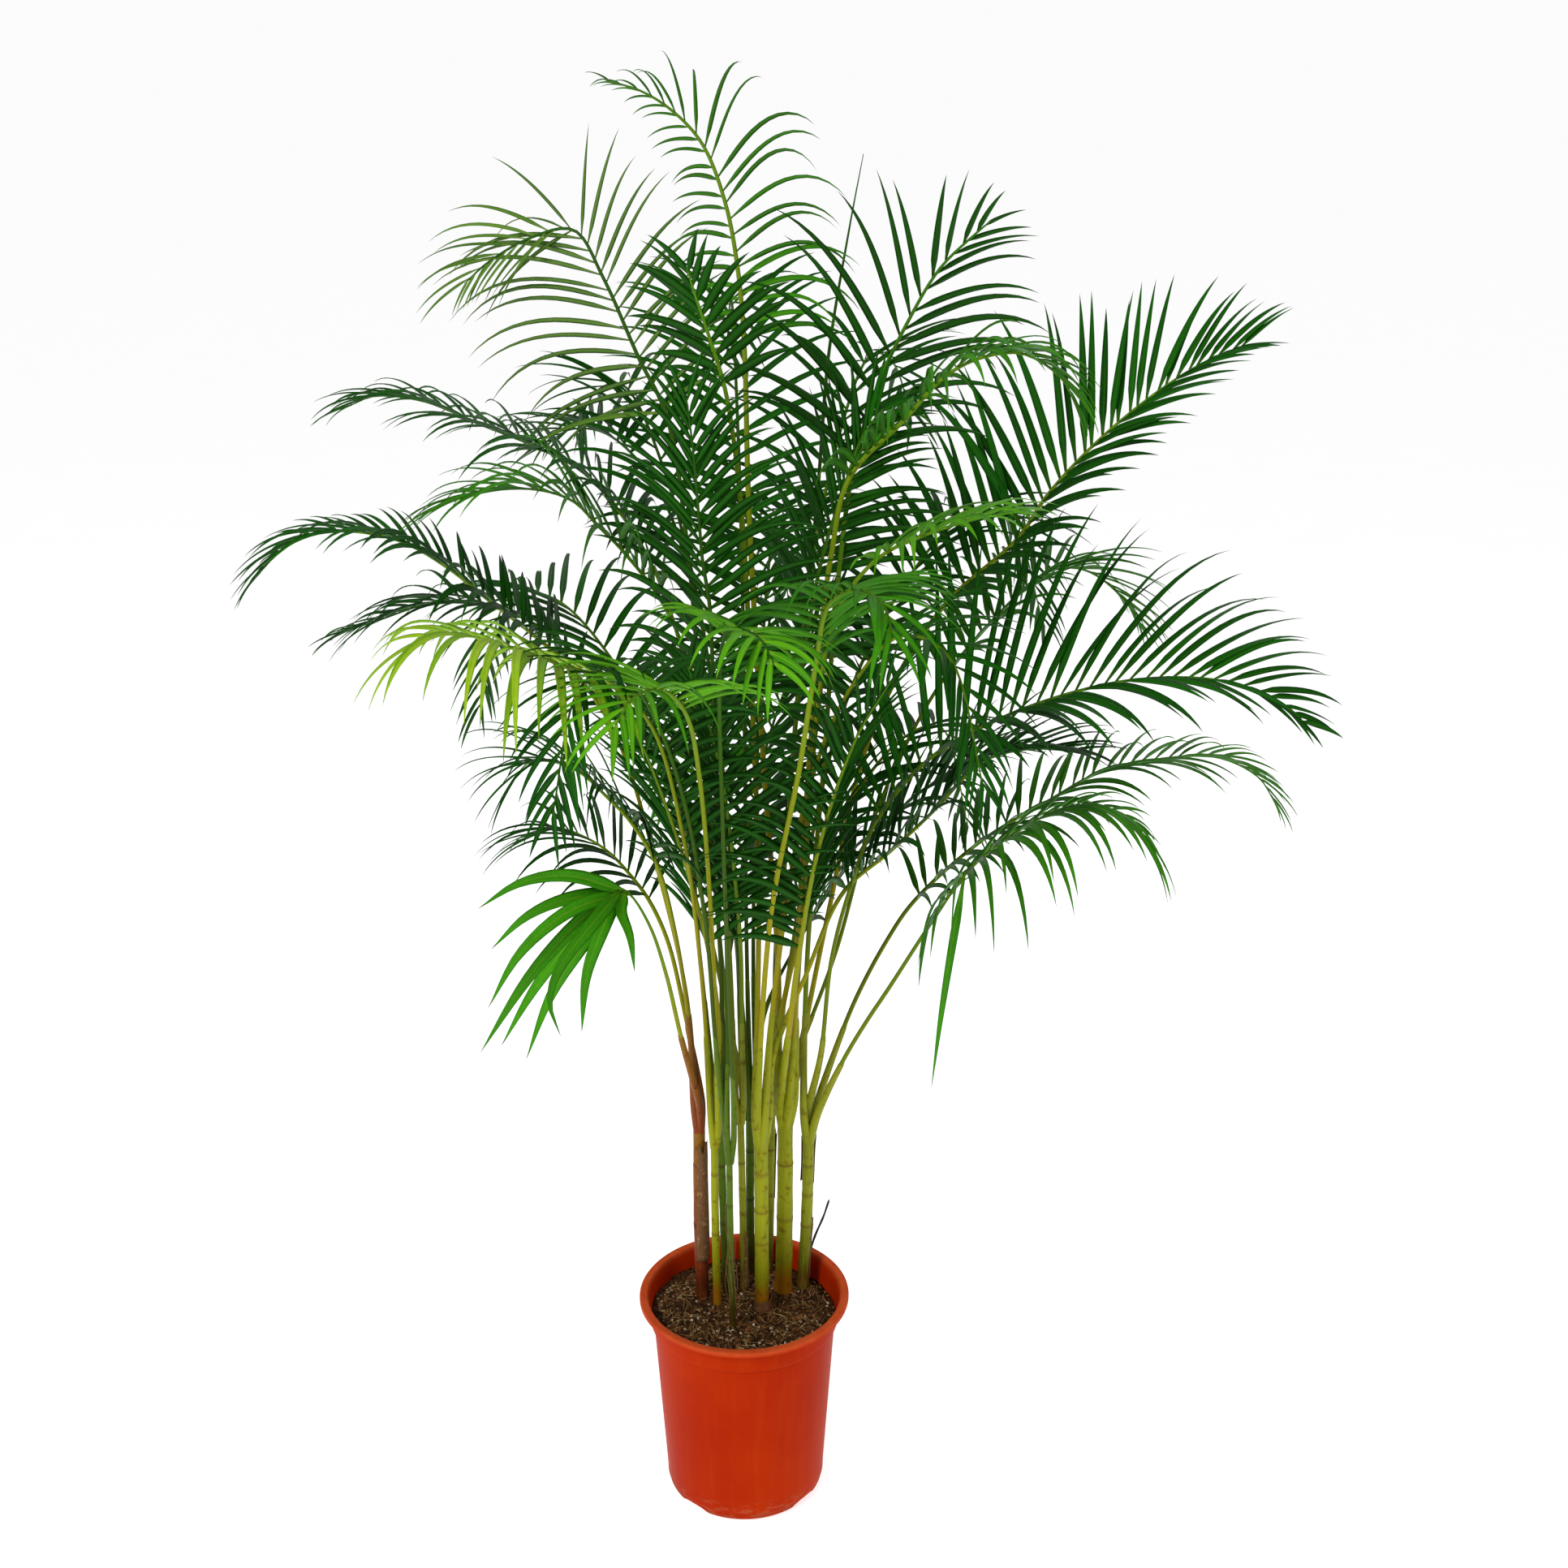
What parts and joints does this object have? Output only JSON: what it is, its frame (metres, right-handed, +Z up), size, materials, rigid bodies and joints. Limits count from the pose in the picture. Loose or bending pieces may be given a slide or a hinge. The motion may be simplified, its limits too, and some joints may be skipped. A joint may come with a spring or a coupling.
{
  "type": "potted palm",
  "caption": "Clump-forming areca palm with arching feather fronds on slender canes, growing in soil in a round tapered nursery pot with a rolled rim and a footed base.",
  "frame": {"origin": "on the pot's axis, in the plane that the pot's feet stand on", "axes": "+Z up along the pot's axis, -Y toward the front, +X to the right seen from the front"},
  "size_m": [1.0917, 0.9377, 1.5695],
  "materials": {
    "pot_plastic": "satin moulded orange terracotta-coloured plastic",
    "potting_soil": "loose dark peat and bark mix with pale flecks",
    "dry_wood": "dull dry grey-brown",
    "cane_skin": "smooth waxy stem skin, green-yellow with brown sheath remains",
    "stalk_skin": "smooth semi-gloss yellow-green stalk",
    "leaf_green": "semi-gloss mid green leaf",
    "leaf_deep": "semi-gloss dark green leaf",
    "leaf_fresh": "semi-gloss fresh green leaf",
    "leaf_lime": "semi-gloss yellow-green leaf",
    "leaf_pale": "thin pale grey-green leaf"
  },
  "bodies": {
    "root": {"pot": "pot_plastic", "soil": "potting_soil", "dry_stick": "dry_wood", "cane_1": "cane_skin", "cane_2": "cane_skin", "cane_3": "cane_skin", "cane_4": "cane_skin", "cane_5": "cane_skin", "cane_6": "cane_skin", "cane_7": "cane_skin", "cane_8": "cane_skin", "cane_9": "cane_skin", "cane_10": "cane_skin", "frond_tall_left_arch": "leaf_green", "frond_back_left_arch": "leaf_pale", "frond_tall_right_dark": "leaf_deep", "spear_leaf": "stalk_skin", "frond_right_arch_bright": "leaf_green", "frond_upper_right": "leaf_deep", "frond_right_mid_bright": "leaf_fresh", "frond_right_short_arch": "leaf_green", "frond_right_long": "leaf_deep", "frond_right_lower": "leaf_green", "frond_right_low_hang": "leaf_green", "frond_right_inner": "leaf_deep", "frond_left_far": "leaf_deep", "frond_left_bright_droop": "leaf_lime", "frond_left_dark": "leaf_deep", "frond_left_upper": "leaf_deep", "frond_left_mid": "leaf_green", "frond_left_low_a": "leaf_deep", "frond_left_low_b": "leaf_deep", "frond_left_fan": "leaf_green", "frond_front_droop": "leaf_fresh", "frond_centre_up": "leaf_deep", "frond_front_right": "leaf_green", "frond_front_left": "leaf_fresh", "frond_back_stub_left": "leaf_deep", "frond_upper_centre": "leaf_deep", "frond_centre_right_up": "leaf_deep", "frond_centre_low_left": "leaf_deep", "frond_centre_low_mid": "leaf_deep", "frond_centre_low_right": "leaf_deep", "frond_centre_back_low": "leaf_deep", "frond_right_low_inner": "leaf_deep", "frond_back_high": "leaf_deep", "frond_back_right_high": "leaf_deep", "frond_back_left_high": "leaf_deep", "frond_back_mid": "leaf_deep", "frond_back_left_mid": "leaf_deep", "frond_back_right_mid": "leaf_deep", "frond_back_low": "leaf_green", "frond_back_right_low": "leaf_deep", "frond_front_right_mid": "leaf_deep", "frond_front_left_mid": "leaf_deep"}
  },
  "joints": []
}
